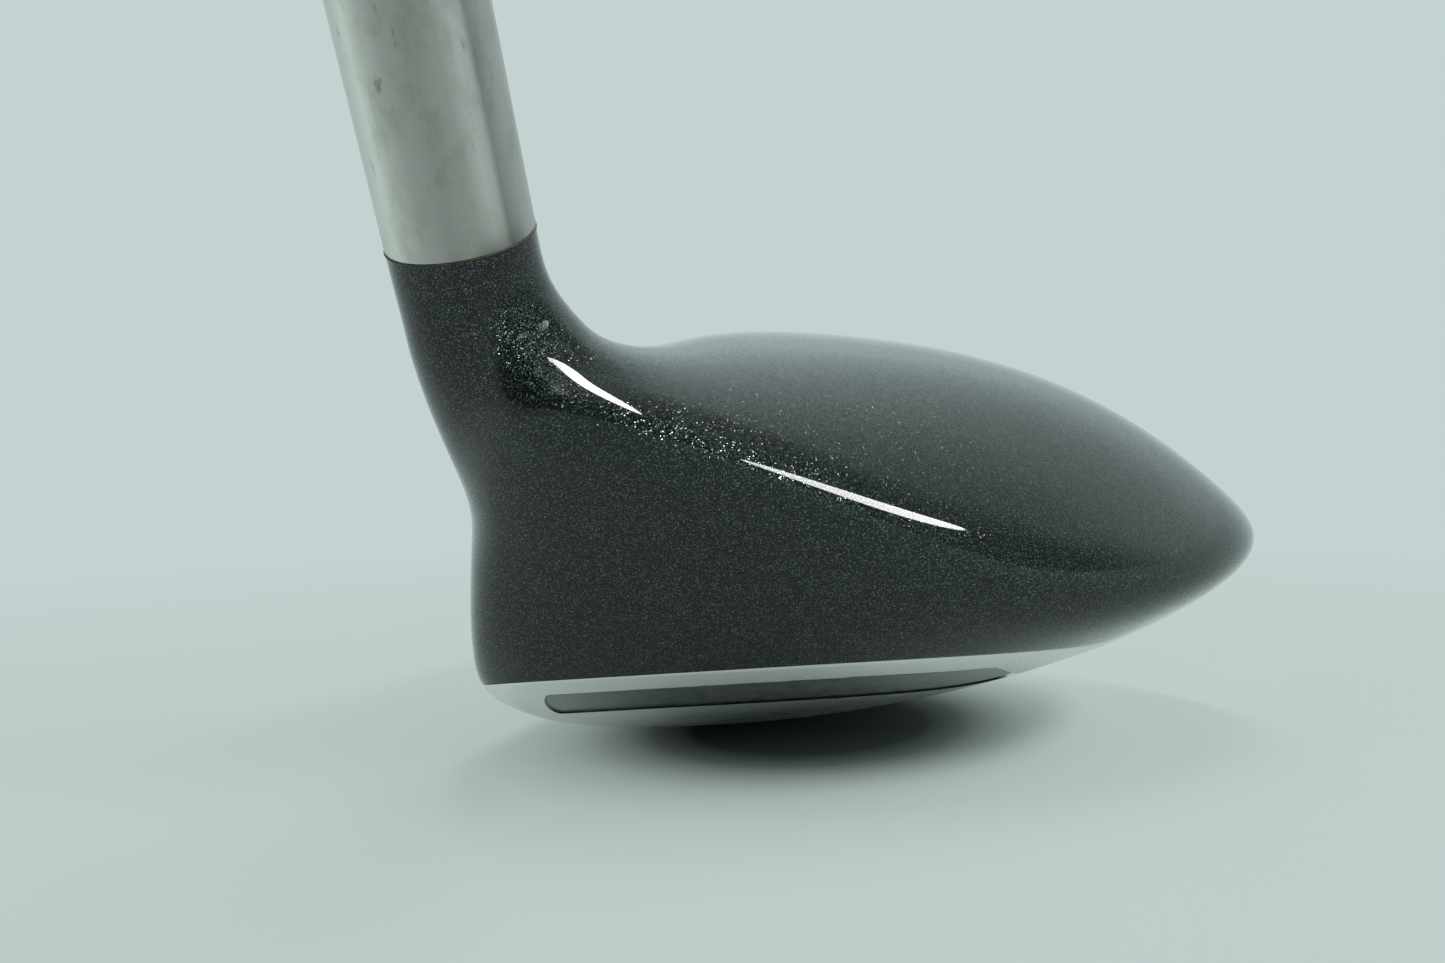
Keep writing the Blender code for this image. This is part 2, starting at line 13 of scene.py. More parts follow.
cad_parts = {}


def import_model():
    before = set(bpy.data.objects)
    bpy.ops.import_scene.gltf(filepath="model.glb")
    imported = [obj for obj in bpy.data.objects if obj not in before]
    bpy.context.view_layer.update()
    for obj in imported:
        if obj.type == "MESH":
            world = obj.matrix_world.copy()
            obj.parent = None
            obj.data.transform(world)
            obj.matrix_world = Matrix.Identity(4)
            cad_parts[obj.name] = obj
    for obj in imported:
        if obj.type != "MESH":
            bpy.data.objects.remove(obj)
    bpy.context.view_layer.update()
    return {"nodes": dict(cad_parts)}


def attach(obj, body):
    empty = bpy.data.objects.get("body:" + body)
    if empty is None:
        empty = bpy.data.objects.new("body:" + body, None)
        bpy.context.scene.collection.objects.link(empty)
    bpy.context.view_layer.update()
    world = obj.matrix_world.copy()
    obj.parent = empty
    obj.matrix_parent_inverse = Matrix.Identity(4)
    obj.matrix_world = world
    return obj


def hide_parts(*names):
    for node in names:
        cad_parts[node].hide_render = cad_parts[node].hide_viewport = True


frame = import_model()

MM = 0.001

# Club
LIE = math.radians(62.5)
LOFT = math.radians(21.0)
SEAM = np.array((2.0, -52.0, 46.5)) * MM        # where the bare hosel meets the painted neck
AXIS = np.array((0.0, -math.cos(LIE), math.sin(LIE)))
CLUB_LENGTH = 1022 * MM
BUTT = CLUB_LENGTH - SEAM[2] / math.sin(LIE)    # heights along the shaft count from the seam
HOSEL_RADIUS = 6.3 * MM
BORE_RADIUS = 5.15 * MM
HOSEL_TOP = 26.0 * MM
GAP = 0.3 * MM
SLIP = 0.15 * MM
TIP_RADIUS = 4.7 * MM
BUTT_RADIUS = 7.6 * MM
TIP_PARALLEL = 60 * MM
BUTT_PARALLEL = 770 * MM
FERRULE_LENGTH = 20 * MM
GRIP_LENGTH = 267 * MM
CAP_THICKNESS = 4 * MM
GRIP_MOUTH = BUTT - GRIP_LENGTH
GRIP_TOP = BUTT - CAP_THICKNESS
GROOVE_COUNT = 22                               # spiral grooves each way around the grip
GROOVE_PITCH = 6.2 * MM
GROOVE_DEPTH = 0.28 * MM
GROOVE_EDGE = 0.80                              # level of the wave at which a groove begins
GROOVED = (0.075, 0.955)                        # shares of the sleeve's length between which they run
GROOVE_FADE = 0.012                             # share of the length in which they fade out
RINGS = (0.055, 0.065, 0.965, 0.975)            # places of the plain rings, as shares of the length
RING_HALF = 0.0022
RING_DEPTH = 0.30 * MM

# Head
WALL = 1.1 * MM
FACE_MIDDLE = (-3 * MM, 5 * MM, 20 * MM)
FACE_HALF = (11.5 * MM, 30 * MM)                # half width up the face and along it
FACE_POWER = 2.6                                # outline between an ellipse (2) and a rectangle
FACE_CLEARANCE = 0.12 * MM                      # between face plate and painted shell
FACE_SETBACK = 0.1 * MM
FACE_THICKNESS = 1.5 * MM
PAINT_EDGE = 0.12 * MM                          # how far the paint's edge turns in at the sole line
SOLE_EDGE = 0.06 * MM
SOLE_LINE = 5.3 * MM
SOLE_LINE_RISE = 0.098
SOLE_LINE_BOWL = 1.55

# Score lines in the face
SCORE_LINES = 7
SCORE_PITCH = 2.6 * MM
SCORE_WIDTH = 0.8 * MM
SCORE_LENGTH = 42 * MM
SCORE_FLOOR = 0.55 * MM                         # depth below the head's surface

# Dark band let into the sole along the heel side, across and then along it
INLAY_DEPTH = 0.6 * MM
BAND_SETBACK = 0.22 * MM
BAND_CLEARANCE = 0.03 * MM
BAND_HALF = 0.9 * MM
BAND_LEVEL = -2.1 * MM                          # its middle, measured from the sole line
BAND_ENDS = (4.9 * MM, 43.1 * MM)

# Crown: a dome that drops from its top; distances in the formulas count in units of SHAPE
SHAPE = 50 * MM
CROWN_MIDDLE = (-9.4 * MM, 2.4 * MM)
CROWN_TOP = 42.26 * MM
CROWN_BACK = 4.26 * MM                          # drop one unit behind the middle
CROWN_BACK_POWER = 3.86
CROWN_FRONT = 5.35 * MM
FRONT_POWER = 2.5
CROWN_SIDE = 4.54 * MM
CROWN_SIDE_POWER = 2.17
CROWN_BLUNT = 0.353                             # flattens the very top from side to side
TAIL_NARROWING = 2.71

# Skirt: a leaning wall around the head, measured at its top level
SKIRT_MIDDLE = (5 * MM, 2 * MM)
SKIRT_LEVEL = 32.87 * MM
SKIRT_BACK = 72.1 * MM
SKIRT_FRONT = 39.8 * MM
SKIRT_HEEL = 61.1 * MM
SKIRT_TOE = 50 * MM
SKIRT_POWER = 2.6                               # between an ellipse (2) and a rectangle
SKIRT_DRAFT = 0.702                             # how far the wall leans in per unit of height
TAIL_DRAFT = 0.10                               # how much less it leans at the tail
LEAST_SLOPE = 4.0                               # keeps the distance finite near the middle

# Sole: a shallow bowl with a small flat, rising to the back, the face and both sides
SOLE_BACK = 9.08 * MM
SOLE_BACK_POWER = 2.15
SOLE_FRONT = 5 * MM
SOLE_SIDE = 7.97 * MM
SOLE_FLAT = 0.3 * MM                            # depth cut off the bowl by the flat

# Face: bulge from heel to toe and roll from sole to crown, about the point that they turn on
FACE_FOOT = -10.8 * MM
FACE_AIM = (2 * MM, 18 * MM)
BULGE_RADIUS = 327 * MM
ROLL_RADIUS = 300 * MM

# Rounded edges between those surfaces, and the neck
SOLE_BLEND = 11.1 * MM
CROWN_BLEND = 7.0 * MM
FACE_BLEND = 15.0 * MM
NECK_TAPER = 54 * MM                            # loss of radius one unit below the seam, before its limit
NECK_THINNING = 5.8 * MM                        # that limit
NECK_LENGTH = 36 * MM
FILLET = 10.5 * MM                              # between neck and body, at the seam
FILLET_GROWTH = 8.1 * MM
FILLET_RUN = 9.3 * MM                           # depth below the seam at which it has grown in full

# Two places in the crease between neck and body, where the paint is matt
CREASE = ((0.0087, -0.0526, 0.0389), (0.0100, -0.0557, 0.0348))
CREASE_EDGE = (0.0022, 0.0034)                  # matt up to the first distance, glossy from the second

# Fineness of the head's mesh
COLUMNS = 480
PAINTED_ROWS = 250
SOLE_ROWS = 110
COARSE_ROWS = 300
OUTLINE_STEPS = 720
OUTLINE_TILT = 0.55 * math.pi                   # columns are even along the head's outline at this tilt
LEAST_LINE_TILT = math.pi / 4                   # the sole line lies farther from the axis than this
BISECTIONS = 26
LINE_BISECTIONS = 24
FARTHEST = 0.16                                 # no point of the head is farther from the rays' centre
LAST_TILT = math.pi - 0.03
SHARP_ANGLE = math.radians(35)                  # edges steeper than this aren't shaded smooth


# ---------------------------------------------------------------- head surface formulas

def union(a, b, size):
    """Joins two shapes with a smooth fillet."""
    near = np.maximum(size - np.abs(a - b), 0.0) / size
    return np.minimum(a, b) - size * near ** 3 / 6


def common(a, b, size):
    """Keeps what two shapes share, with a rounded edge."""
    return -union(-a, -b, size)


def crown(x, y, z):
    u = (x - CROWN_MIDDLE[0]) / SHAPE
    v = np.abs(y - CROWN_MIDDLE[1]) / SHAPE
    back = np.maximum(u, 0.0)
    front = np.maximum(-u, 0.0)
    side = np.hypot(v, CROWN_BLUNT)
    spread_out = side ** CROWN_SIDE_POWER - CROWN_BLUNT ** CROWN_SIDE_POWER
    narrowing = 1 + TAIL_NARROWING * back ** 3
    drop = (CROWN_BACK * back ** CROWN_BACK_POWER + CROWN_FRONT * front ** FRONT_POWER
            + CROWN_SIDE * spread_out * narrowing)
    slope_x = (CROWN_BACK * CROWN_BACK_POWER * back ** (CROWN_BACK_POWER - 1)
               - CROWN_FRONT * FRONT_POWER * front ** (FRONT_POWER - 1)
               + 3 * CROWN_SIDE * TAIL_NARROWING * spread_out * back ** 2)
    slope_y = CROWN_SIDE * CROWN_SIDE_POWER * side ** (CROWN_SIDE_POWER - 2) * v * narrowing
    return (z - CROWN_TOP + drop) / np.sqrt(1 + (slope_x ** 2 + slope_y ** 2) / SHAPE ** 2)


def skirt(x, y, z):
    behind = x > SKIRT_MIDDLE[0]
    half_x = np.where(behind, SKIRT_BACK, SKIRT_FRONT)
    half_y = np.where(y < SKIRT_MIDDLE[1], SKIRT_HEEL, SKIRT_TOE)
    u = np.abs(x - SKIRT_MIDDLE[0]) / half_x
    v = np.abs(y - SKIRT_MIDDLE[1]) / half_y
    total = u ** SKIRT_POWER + v ** SKIRT_POWER + 1e-9
    slope = (total ** (1 / SKIRT_POWER - 1)
             * np.hypot(u ** (SKIRT_POWER - 1) / half_x, v ** (SKIRT_POWER - 1) / half_y))
    outside = (total ** (1 / SKIRT_POWER) - 1) / np.maximum(slope, LEAST_SLOPE)
    draft = SKIRT_DRAFT - TAIL_DRAFT * np.where(behind, np.minimum(u, 1.0) ** 2, 0.0)
    return (outside + draft * (SKIRT_LEVEL - z)) / np.sqrt(1 + draft ** 2)


def sole(x, y, z):
    back = np.maximum(x, 0.0) / SHAPE
    front = np.maximum(-x, 0.0) / SHAPE
    side = y / SHAPE
    rise = SOLE_BACK * back ** SOLE_BACK_POWER + SOLE_FRONT * front ** FRONT_POWER + SOLE_SIDE * side ** 2
    slope_x = (SOLE_BACK * SOLE_BACK_POWER * back ** (SOLE_BACK_POWER - 1)
               - SOLE_FRONT * FRONT_POWER * front ** (FRONT_POWER - 1))
    slope_y = 2 * SOLE_SIDE * side
    return (rise - SOLE_FLAT - z) / np.sqrt(1 + (slope_x ** 2 + slope_y ** 2) / SHAPE ** 2)


def face(x, y, z):
    bulge = (y - FACE_AIM[0]) ** 2 / (2 * BULGE_RADIUS)
    roll = (z - FACE_AIM[1]) ** 2 / (2 * ROLL_RADIUS)
    front = FACE_FOOT + z * math.tan(LOFT) + bulge + roll
    return (front - x) * math.cos(LOFT)


def body(x, y, z):
    under = common(skirt(x, y, z), sole(x, y, z), SOLE_BLEND)
    lens = common(crown(x, y, z), under, CROWN_BLEND)
    rounded = common(lens, face(x, y, z), FACE_BLEND)
    return np.maximum(rounded, -z)


def neck(x, y, z):
    """The tapering neck, and how much of the fillet to the body to use at each height."""
    dx, dy, dz = x - SEAM[0], y - SEAM[1], z - SEAM[2]
    height = dy * AXIS[1] + dz * AXIS[2]
    off_y = dy - height * AXIS[1]
    off_z = dz - height * AXIS[2]
    radius = np.sqrt(dx ** 2 + off_y ** 2 + off_z ** 2)
    depth = np.maximum(-height, 0.0)
    taper = union(NECK_TAPER * (depth / SHAPE) ** 3, NECK_THINNING, 3 * MM)
    share = np.minimum(depth / FILLET_RUN, 1.0)
    tube = common(radius - HOSEL_RADIUS + taper, depth - NECK_LENGTH, 4 * MM)
    return tube, share * share * (3 - 2 * share)


def head(x, y, z):
    tube, share = neck(x, y, z)
    return union(body(x, y, z), tube, FILLET + FILLET_GROWTH * share)


def sole_line(x, y):
    return SOLE_LINE + SOLE_LINE_RISE * x + SOLE_LINE_BOWL * y ** 2


# ---------------------------------------------------------------- rays and grids

def ray_directions(turn, tilt):
    """Unit vectors at an angle from the shaft's axis, turned about it."""
    side = np.array((1.0, 0.0, 0.0))
    other = np.cross(AXIS, side)
    around = np.cos(turn)[..., None] * side + np.sin(turn)[..., None] * other
    return np.cos(tilt)[..., None] * AXIS + np.sin(tilt)[..., None] * around


RAY_DEPTH = 30 * MM
RAY_CENTRE = SEAM - AXIS * RAY_DEPTH


def surface(turn, tilt):
    """Points of the head's surface along rays from inside the heel."""
    rays = ray_directions(turn, tilt)
    low = np.zeros(rays.shape[:-1])
    high = np.full(rays.shape[:-1], FARTHEST)
    for _ in range(BISECTIONS):
        middle = (low + high) / 2
        point = RAY_CENTRE + middle[..., None] * rays
        inside = head(point[..., 0], point[..., 1], point[..., 2]) < 0
        low = np.where(inside, middle, low)
        high = np.where(inside, high, middle)
    return RAY_CENTRE + low[..., None] * rays


def outward(points):
    """Unit normals of the head's surface, from the slope of its formula."""
    step = 0.01 * MM
    slope = []
    for axis in range(3):
        shift = np.zeros(3)
        shift[axis] = step
        ahead = points + shift
        behind = points - shift
        slope.append(head(ahead[..., 0], ahead[..., 1], ahead[..., 2])
                     - head(behind[..., 0], behind[..., 1], behind[..., 2]))
    normals = np.stack(slope, axis=-1)
    return normals / np.linalg.norm(normals, axis=-1, keepdims=True)


def even(points, tilts, count):
    """Tilts that cut each column of points into equal lengths."""
    steps = np.linalg.norm(np.diff(points, axis=1), axis=2)
    length = np.concatenate((np.zeros((len(steps), 1)), np.cumsum(steps, axis=1)), axis=1)
    target = np.linspace(0, 1, count)
    return np.array([np.interp(target * row[-1], row, tilt) for row, tilt in zip(length, tilts)])


def head_grids():
    """Grids of surface points above and below the sole line, sharing the line itself."""
    start = math.atan2(HOSEL_RADIUS, RAY_DEPTH)
    turn = np.linspace(0, 2 * math.pi, OUTLINE_STEPS + 1)
    outline = surface(turn, np.full(OUTLINE_STEPS + 1, OUTLINE_TILT))
    steps = np.concatenate(((0.0,), np.cumsum(np.linalg.norm(np.diff(outline, axis=0), axis=1))))
    turn = np.interp(np.linspace(0, steps[-1], COLUMNS + 1)[:-1], steps, turn)

    low = np.full(COLUMNS, LEAST_LINE_TILT)
    high = np.full(COLUMNS, LAST_TILT)
    for _ in range(LINE_BISECTIONS):
        middle = (low + high) / 2
        point = surface(turn, middle)
        above = point[:, 2] > sole_line(point[:, 0], point[:, 1])
        low = np.where(above, middle, low)
        high = np.where(above, high, middle)
    line = (low + high) / 2

    grids = []
    for first, last, rows in ((np.full(COLUMNS, start), line, PAINTED_ROWS),
                              (line, np.full(COLUMNS, LAST_TILT), SOLE_ROWS)):
        coarse = np.linspace(0, 1, COARSE_ROWS)
        tilts = first[:, None] + (last - first)[:, None] * coarse
        wide = np.repeat(turn[:, None], COARSE_ROWS, axis=1)
        tilts = even(surface(wide, tilts), tilts, rows)
        wide = np.repeat(turn[:, None], rows, axis=1)
        grids.append(surface(wide, tilts))
    return grids


# ---------------------------------------------------------------- mesh tools

def new_object(name, mesh, matrix=None):
    item = bpy.data.objects.new(name, mesh)
    bpy.context.scene.collection.objects.link(item)
    if matrix is not None:
        item.matrix_world = matrix
    return item


def solid(name, grid, faces, matrix):
    """Object from a grid's points, with its faces turned outward."""
    mesh = bpy.data.meshes.new(name)
    mesh.from_pydata(grid.reshape(-1, 3).tolist(), [], faces)
    bm = bmesh.new()
    bm.from_mesh(mesh)
    bmesh.ops.recalc_face_normals(bm, faces=bm.faces)
    bm.to_mesh(mesh)
    bm.free()
    return new_object(name, mesh, matrix)


def capped_solid(name, grid, matrix=None):
    """Solid from points[column, row], with a flat cap at both ends."""
    columns, rows = grid.shape[:2]
    index = np.arange(columns * rows).reshape(columns, rows)
    ahead = np.roll(index, -1, axis=0)
    quads = np.stack((index[:, :-1], index[:, 1:], ahead[:, 1:], ahead[:, :-1]), axis=-1).reshape(-1, 4)
    caps = [index[::-1, 0].tolist(), index[:, -1].tolist()]
    return solid(name, grid, quads.tolist() + caps, matrix)


def ring_solid(name, grid, matrix=None):
    """Solid from points[column, row] that closes on itself both ways."""
    columns, rows = grid.shape[:2]
    index = np.arange(columns * rows).reshape(columns, rows)
    ahead = np.roll(index, -1, axis=0)
    below = np.roll(index, -1, axis=1)
    both = np.roll(ahead, -1, axis=1)
    quads = np.stack((index, below, both, ahead), axis=-1).reshape(-1, 4)
    return solid(name, grid, quads.tolist(), matrix)


def cut(item, tool, operation):
    """Boolean with a closed tool, baked into the mesh."""
    modifier = item.modifiers.new("cut", "BOOLEAN")
    modifier.object = tool
    modifier.operation = operation
    modifier.solver = "MANIFOLD"
    graph = bpy.context.evaluated_depsgraph_get()
    mesh = bpy.data.meshes.new_from_object(item.evaluated_get(graph), depsgraph=graph)
    old = item.data
    item.modifiers.clear()
    item.data = mesh
    mesh.name = old.name
    bpy.data.meshes.remove(old)


def discard(*items):
    for item in items:
        bpy.data.objects.remove(item, do_unlink=True)


def finish_piece(item, material, slot, *nodes):
    """Dresses a piece and ties it to the frame's body, in place of the nodes named."""
    item.data.materials.clear()
    item.data.materials.append(material)
    item.data.shade_smooth()
    item.data.set_sharp_from_angle(angle=SHARP_ANGLE)
    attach(item, "root")
    if nodes:
        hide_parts(*nodes)


def along_shaft():
    """Matrix whose Z axis runs up the shaft from the seam."""
    lean = Matrix.Rotation(math.pi / 2 - LIE, 4, "X")
    return Matrix.Translation(Vector(SEAM)) @ lean


def turned(name, profile, steps):
    """Ring-shaped body of revolution from a closed profile of (radius, height)."""
    angle = np.linspace(0, 2 * math.pi, steps, endpoint=False)
    radius = np.array([point[0] for point in profile])
    height = np.array([point[1] for point in profile])
    grid = np.stack((radius * np.cos(angle)[:, None], radius * np.sin(angle)[:, None],
                     np.repeat(height[None], steps, axis=0)), axis=-1)
    return ring_solid(name, grid, along_shaft())


# ---------------------------------------------------------------- head pieces

def shell(name, grid, thickness, every):
    """Thin closed shell under a surface grid; the inside is coarser down each column."""
    rows = grid.shape[1]
    picked = sorted(set(range(0, rows, every)) | {rows - 1})
    inner = grid[:, picked] - outward(grid[:, picked]) * thickness
    return ring_solid(name, np.concatenate((grid, inner[:, ::-1]), axis=1))


def face_matrix():
    return Matrix.Translation(FACE_MIDDLE) @ Matrix.Rotation(LOFT - math.pi / 2, 4, "Y")


def face_prism(name, grow, low, high):
    """Prism through the face, with the rounded outline of the face plate."""
    steps = 160
    points = []
    for step in range(steps):
        angle = 2 * math.pi * (step + 0.5) / steps
        across = math.copysign(abs(math.cos(angle)) ** (2 / FACE_POWER), math.cos(angle))
        along = math.copysign(abs(math.sin(angle)) ** (2 / FACE_POWER), math.sin(angle))
        points.append(((FACE_HALF[0] + grow) * across, (FACE_HALF[1] + grow) * along))
    grid = np.array([[(x, y, low), (x, y, high)] for x, y in points])
    return capped_solid(name, grid, face_matrix())


def build_head():
    painted_grid, sole_grid = head_grids()
    whole_grid = np.concatenate((painted_grid[:, :-1], sole_grid), axis=1)

    # Painted shell, with its edge rounded over at the sole line and open at the face
    painted_grid[:, -1] -= outward(painted_grid[:, -1]) * PAINT_EDGE
    painted = shell("painted_head", painted_grid, WALL, 8)
    opening = face_prism("face_opening", FACE_CLEARANCE, -7 * MM, 12 * MM)
    cut(painted, opening, "DIFFERENCE")
    discard(opening)

    plate = build_face(whole_grid)
    sole_grid[:, 0] -= outward(sole_grid[:, 0]) * SOLE_EDGE
    sole_piece, fill = build_sole(sole_grid)
    return painted, plate, sole_piece, fill


def build_face(whole_grid):
    """Face plate with score lines, a little below the head's surface."""
    normals = outward(whole_grid)

    def offset(name, depth):
        return capped_solid(name, whole_grid - normals * depth)

    plate = offset("scored_face", FACE_SETBACK)
    inside = offset("inside", FACE_SETBACK + FACE_THICKNESS)
    blank = face_prism("face_blank", 0.0, -6 * MM, 11 * MM)
    cut(plate, blank, "INTERSECT")
    cut(plate, inside, "DIFFERENCE")
    floor = offset("score_floor", SCORE_FLOOR)
    lines = score_lines()
    cut(lines, floor, "DIFFERENCE")
    cut(plate, lines, "DIFFERENCE")
    discard(inside, blank, floor, lines)
    return plate


def build_sole(sole_grid):
    """Sole plate with the dark band let into its heel side."""
    normals = outward(sole_grid)

    def slab(name, top, bottom):
        grid = np.concatenate((sole_grid - normals * top, (sole_grid - normals * bottom)[:, ::-1]), axis=1)
        return ring_solid(name, grid)

    sole_piece = shell("polished_sole", sole_grid, WALL, 6)
    pocket = slab("pocket", -0.5 * MM, INLAY_DEPTH)
    fill = slab("sole_band", BAND_SETBACK, INLAY_DEPTH - 0.02 * MM)
    channel = band_channel("channel", 0.0)
    inner_channel = band_channel("inner_channel", -BAND_CLEARANCE)
    cut(pocket, channel, "INTERSECT")
    cut(sole_piece, pocket, "DIFFERENCE")
    cut(fill, inner_channel, "INTERSECT")
    discard(pocket, channel, inner_channel)
    return sole_piece, fill


def score_lines():
    """Row of narrow blocks, a little slimmer towards the inside."""
    bm = bmesh.new()
    for line in range(SCORE_LINES):
        height = (line - SCORE_LINES // 2) * SCORE_PITCH
        for vert in bmesh.ops.create_cube(bm, size=1.0)["verts"]:
            taper = 0.8 if vert.co.z < 0 else 1.0
            across = SCORE_WIDTH * vert.co.x * taper
            vert.co = (height + across, SCORE_LENGTH * vert.co.y, 16 * MM * vert.co.z)
    mesh = bpy.data.meshes.new("score_lines")
    bm.to_mesh(mesh)
    bm.free()
    return new_object("score_lines", mesh, face_matrix())


def band_channel(name, grow):
    """Long rounded channel that follows the sole line on the heel side."""
    half = BAND_HALF + grow
    corners = 16
    ring = []
    for end, start in zip(BAND_ENDS, (math.pi / 2, -math.pi / 2)):
        for step in range(corners + 1):
            angle = start + math.pi * step / corners
            ring.append((end + half * math.cos(angle), BAND_LEVEL + half * math.sin(angle)))
    stations = np.linspace(-60 * MM, -15 * MM, 31)
    grid = np.array([[(x, y, sole_line(x, y) + lift) for y in stations] for x, lift in ring])
    return capped_solid(name, grid)


# ---------------------------------------------------------------- hosel, shaft and grip pieces

def shaft_radius(height):
    share = (height - TIP_PARALLEL) / (BUTT_PARALLEL - TIP_PARALLEL)
    return TIP_RADIUS + (BUTT_RADIUS - TIP_RADIUS) * min(max(share, 0.0), 1.0)


def build_hosel():
    top = HOSEL_TOP
    profile = [(HOSEL_RADIUS - 0.05 * MM, 0.06 * MM), (HOSEL_RADIUS, 0.16 * MM)]
    profile += [(HOSEL_RADIUS, top * share) for share in (0.25, 0.5, 0.75)]
    profile += [(HOSEL_RADIUS, top - 0.4 * MM), (HOSEL_RADIUS - 0.12 * MM, top - 0.12 * MM),
                (HOSEL_RADIUS - 0.4 * MM, top), (BORE_RADIUS, top), (BORE_RADIUS, 0.06 * MM)]
    return turned("brushed_hosel", profile, 160)


def build_paint_lip():
    """Thin raised edge where the paint of the neck stops at the bare hosel."""
    reach = 0.075 * MM
    middle = HOSEL_RADIUS + 0.005 * MM
    level = 0.03 * MM
    angles = [2 * math.pi * step / 12 for step in range(12)]
    profile = [(middle + reach * math.cos(angle), level + 1.1 * reach * math.sin(angle))
               for angle in angles]
    return turned("paint_lip", profile, 200)


def build_ferrule():
    base = HOSEL_TOP + GAP
    lower = ((0.0, -0.05), (0.006, 0.0), (0.25, -0.15), (0.42, -0.33), (0.6, -0.6))
    upper = ((0.78, 0.87), (0.93, 0.75), (0.985, 0.62), (1.0, 0.4))
    profile = [(start + change * MM, base + share * FERRULE_LENGTH)
               for start, slope in ((HOSEL_RADIUS, lower), (TIP_RADIUS, upper)) for share, change in slope]
    profile += [(TIP_RADIUS + SLIP, base + FERRULE_LENGTH), (TIP_RADIUS + SLIP, base)]
    return turned("turned_ferrule", profile, 128)


def build_shaft():
    foot = -8 * MM
    top = GRIP_TOP - GAP
    heights = [foot, 20 * MM, *np.linspace(TIP_PARALLEL, BUTT_PARALLEL, 12), top]
    profile = [(shaft_radius(height), height) for height in heights]
    profile += [(BUTT_RADIUS - 1 * MM, top), (TIP_RADIUS - 1.3 * MM, foot)]
    return turned("wound_shaft", profile, 96)


def grip_radius(share):
    """The grip's taper, as radius by share of its length."""
    shares = (0.0, 0.03, 0.25, 0.5, 0.75, 0.985, 1.0)
    radii = (9.1, 9.6, 10.4, 11.4, 12.5, 13.3, 13.0)
    return np.interp(share, shares, radii) * MM


def build_grip():
    """Rubber sleeve with two crossing sets of spiral grooves between plain end bands."""
    length = GRIP_LENGTH - CAP_THICKNESS - GAP
    steps, rows = 300, 620
    angle = np.linspace(0, 2 * math.pi, steps, endpoint=False)[:, None]
    share = np.linspace(0, 1, rows)[None]
    height = share * length
    radius = np.repeat(grip_radius(share), steps, axis=0)
    fade_in = np.clip((share - GROOVED[0]) / GROOVE_FADE, 0, 1)
    fade_out = np.clip((GROOVED[1] - share) / GROOVE_FADE, 0, 1)
    grooves = np.zeros_like(radius)
    for way in (1, -1):
        wave = np.cos(GROOVE_COUNT * angle + way * 2 * math.pi * height / GROOVE_PITCH)
        grooves = np.maximum(grooves, np.clip((wave - GROOVE_EDGE) / (1 - GROOVE_EDGE), 0, 1))
    rings = np.zeros_like(share)
    for place in RINGS:
        rings = np.maximum(rings, np.clip(1 - np.abs(share - place) / RING_HALF, 0, 1))
    radius = radius - GROOVE_DEPTH * grooves * (fade_in * fade_out) - RING_DEPTH * rings
    outer = np.stack((radius * np.cos(angle), radius * np.sin(angle),
                      np.repeat(GRIP_MOUTH + height, steps, axis=0)), axis=-1)
    lining = BUTT_RADIUS + SLIP * 2 + 0.2 * MM
    inside = [(lining, GRIP_MOUTH + length), (lining, BUTT_PARALLEL - 20 * MM),
              (shaft_radius(GRIP_MOUTH) + 3 * SLIP, GRIP_MOUTH)]
    inner = np.stack([np.concatenate((r * np.cos(angle), r * np.sin(angle), np.full_like(angle, h)), axis=1)
                      for r, h in inside], axis=1)
    return ring_solid("grip_rubber_sleeve", np.concatenate((outer, inner), axis=1), along_shaft())


def build_cap():
    """End cap with a rounded rim, a fine ring on top and the vent hole."""
    vent = 1.2 * MM
    rim = ((13.1, 2.2), (12.95, 1.6), (12.5, 1.0), (11.7, 0.45), (10.5, 0.12), (9.2, 0.0))
    ring = ((8.4, 0.0), (8.2, 0.3), (7.8, 0.3), (7.6, 0.0))
    profile = [(vent, GRIP_TOP), (13.1 * MM, GRIP_TOP)]
    profile += [(radius * MM, BUTT - drop * MM) for radius, drop in rim + ring]
    profile += [(vent + 0.4 * MM, BUTT), (vent, BUTT - 0.3 * MM)]
    return turned("grip_end_cap", profile, 128)


# ---------------------------------------------------------------- materials

class Graph:
    """Small helper to build a node tree."""

    def __init__(self, tree):
        self.tree = tree

    def add(self, kind, **settings):
        node = self.tree.nodes.new(kind)
        for key, value in settings.items():
            setattr(node, key, value)
        return node

    def link(self, source, target):
        self.tree.links.new(source, target)

    def ramp(self, value, *stops):
        """Colour ramp; each stop is (place, colour or grey level)."""
        node = self.add("ShaderNodeValToRGB")
        elements = node.color_ramp.elements
        while len(elements) < len(stops):
            elements.new(0.5)
        for element, (place, colour) in zip(elements, stops):
            element.position = place
            element.color = (*colour, 1.0) if isinstance(colour, tuple) else (colour, colour, colour, 1.0)
        self.link(value, node.inputs["Fac"])
        return node.outputs["Color"]

    def math(self, operation, *values):
        node = self.add("ShaderNodeMath", operation=operation)
        for socket, value in zip(node.inputs, values):
            if isinstance(value, (int, float)):
                socket.default_value = value
            else:
                self.link(value, socket)
        return node.outputs["Value"]

    def mix(self, share, a, b, blend="MIX"):
        node = self.add("ShaderNodeMix", data_type="RGBA", blend_type=blend)
        for socket, value in ((node.inputs[0], share), (node.inputs[6], a), (node.inputs[7], b)):
            if isinstance(value, (int, float)):
                socket.default_value = value
            elif isinstance(value, tuple):
                socket.default_value = (*value, 1.0)
            else:
                self.link(value, socket)
        return node.outputs[2]


